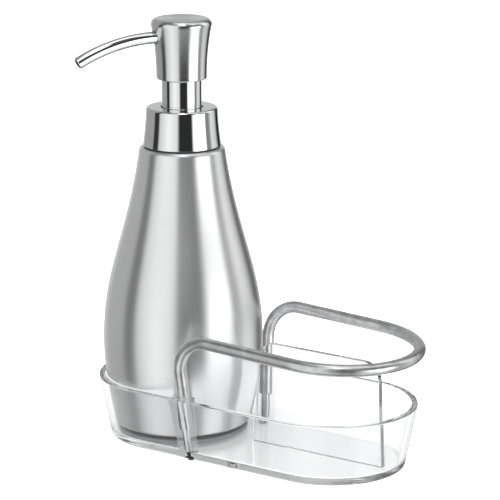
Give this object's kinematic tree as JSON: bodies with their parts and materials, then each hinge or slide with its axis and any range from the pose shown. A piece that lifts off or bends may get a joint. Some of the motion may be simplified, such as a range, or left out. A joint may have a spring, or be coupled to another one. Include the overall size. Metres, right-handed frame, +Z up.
{
  "type": "pump soap dispenser with sponge caddy",
  "caption": "Steel pump bottle for liquid soap, standing in one end of a clear tray; an upright clear panel and a bent wire rail hold a sponge in the other end.",
  "frame": {"origin": "under the middle of the set's bounding box, on the surface that it stands on", "axes": "+Z up, +X from the bottle towards the sponge end, -Y towards the front"},
  "size_m": [0.1692, 0.0864, 0.2026],
  "materials": {
    "clear_acrylic": "clear, polished",
    "satin_wire": "satin",
    "dark_screw": "blackened",
    "clear_rubber": "clear, soft",
    "brushed_bottle": "brushed around the axis",
    "black_rubber": "matt",
    "grey_rubber": "matt",
    "white_plastic": "moulded",
    "natural_plastic": "moulded, milky",
    "spring_steel": "bright drawn",
    "polished_chrome": "polished",
    "satin_head": "satin"
  },
  "bodies": {
    "caddy": {"tray": "clear_acrylic", "divider_panel": "clear_acrylic", "sponge_rail": "satin_wire", "leg_screw_front": "dark_screw", "leg_screw_back": "dark_screw", "foot_front_left": "clear_rubber", "foot_front_right": "clear_rubber", "foot_back_left": "clear_rubber", "foot_back_right": "clear_rubber"},
    "bottle": {"bottle_shell": "brushed_bottle", "base_pad": "black_rubber", "base_disc": "grey_rubber", "neck_insert": "white_plastic"},
    "pump": {"pump_housing": "natural_plastic", "housing_gasket": "black_rubber", "stem_guide": "white_plastic", "return_spring": "spring_steel", "dip_tube": "natural_plastic"},
    "valve": {"inlet_ball": "spring_steel"},
    "collar": {"collar_cover": "polished_chrome", "screw_cap": "white_plastic", "collar_gasket": "black_rubber"},
    "plunger": {"piston_stem": "white_plastic", "piston_seal": "black_rubber", "stem_sleeve": "polished_chrome"},
    "head": {"head_cap": "satin_head", "head_core": "white_plastic", "spout_tube": "polished_chrome"}
  },
  "joints": [
    {"name": "bottle_lift", "type": "slide", "parent": "caddy", "child": "bottle", "axis": [0, 0, 1], "range_m": [0, 0.065]},
    {"name": "pump_rise", "type": "slide", "parent": "bottle", "child": "pump", "axis": [0, 0, 1], "range_m": [0, 0.0042]},
    {"name": "collar_turn", "type": "hinge", "parent": "pump", "child": "collar", "pos_m": [-0.04403, 0.00205, 0.15], "axis": [0, 0, 1], "range_deg": [0, 360]},
    {"name": "pump_press", "type": "slide", "parent": "pump", "child": "plunger", "axis": [0, 0, -1], "range_m": [0, 0.011], "stiffness_N_per_m": 400, "springref_m": -0.01, "deforming": ["return_spring"]},
    {"name": "head_swivel", "type": "hinge", "parent": "plunger", "child": "head", "pos_m": [-0.04403, 0.00205, 0.185], "axis": [0, 0, 1], "continuous": true},
    {"name": "inlet_ball_lift", "type": "slide", "parent": "pump", "child": "valve", "axis": [0, 0, 1], "range_m": [0, 0.0012]}
  ],
  "couplings": [
    {"joint": "collar_turn", "follows": "pump_rise", "rad_per_m": 1495.9}
  ]
}
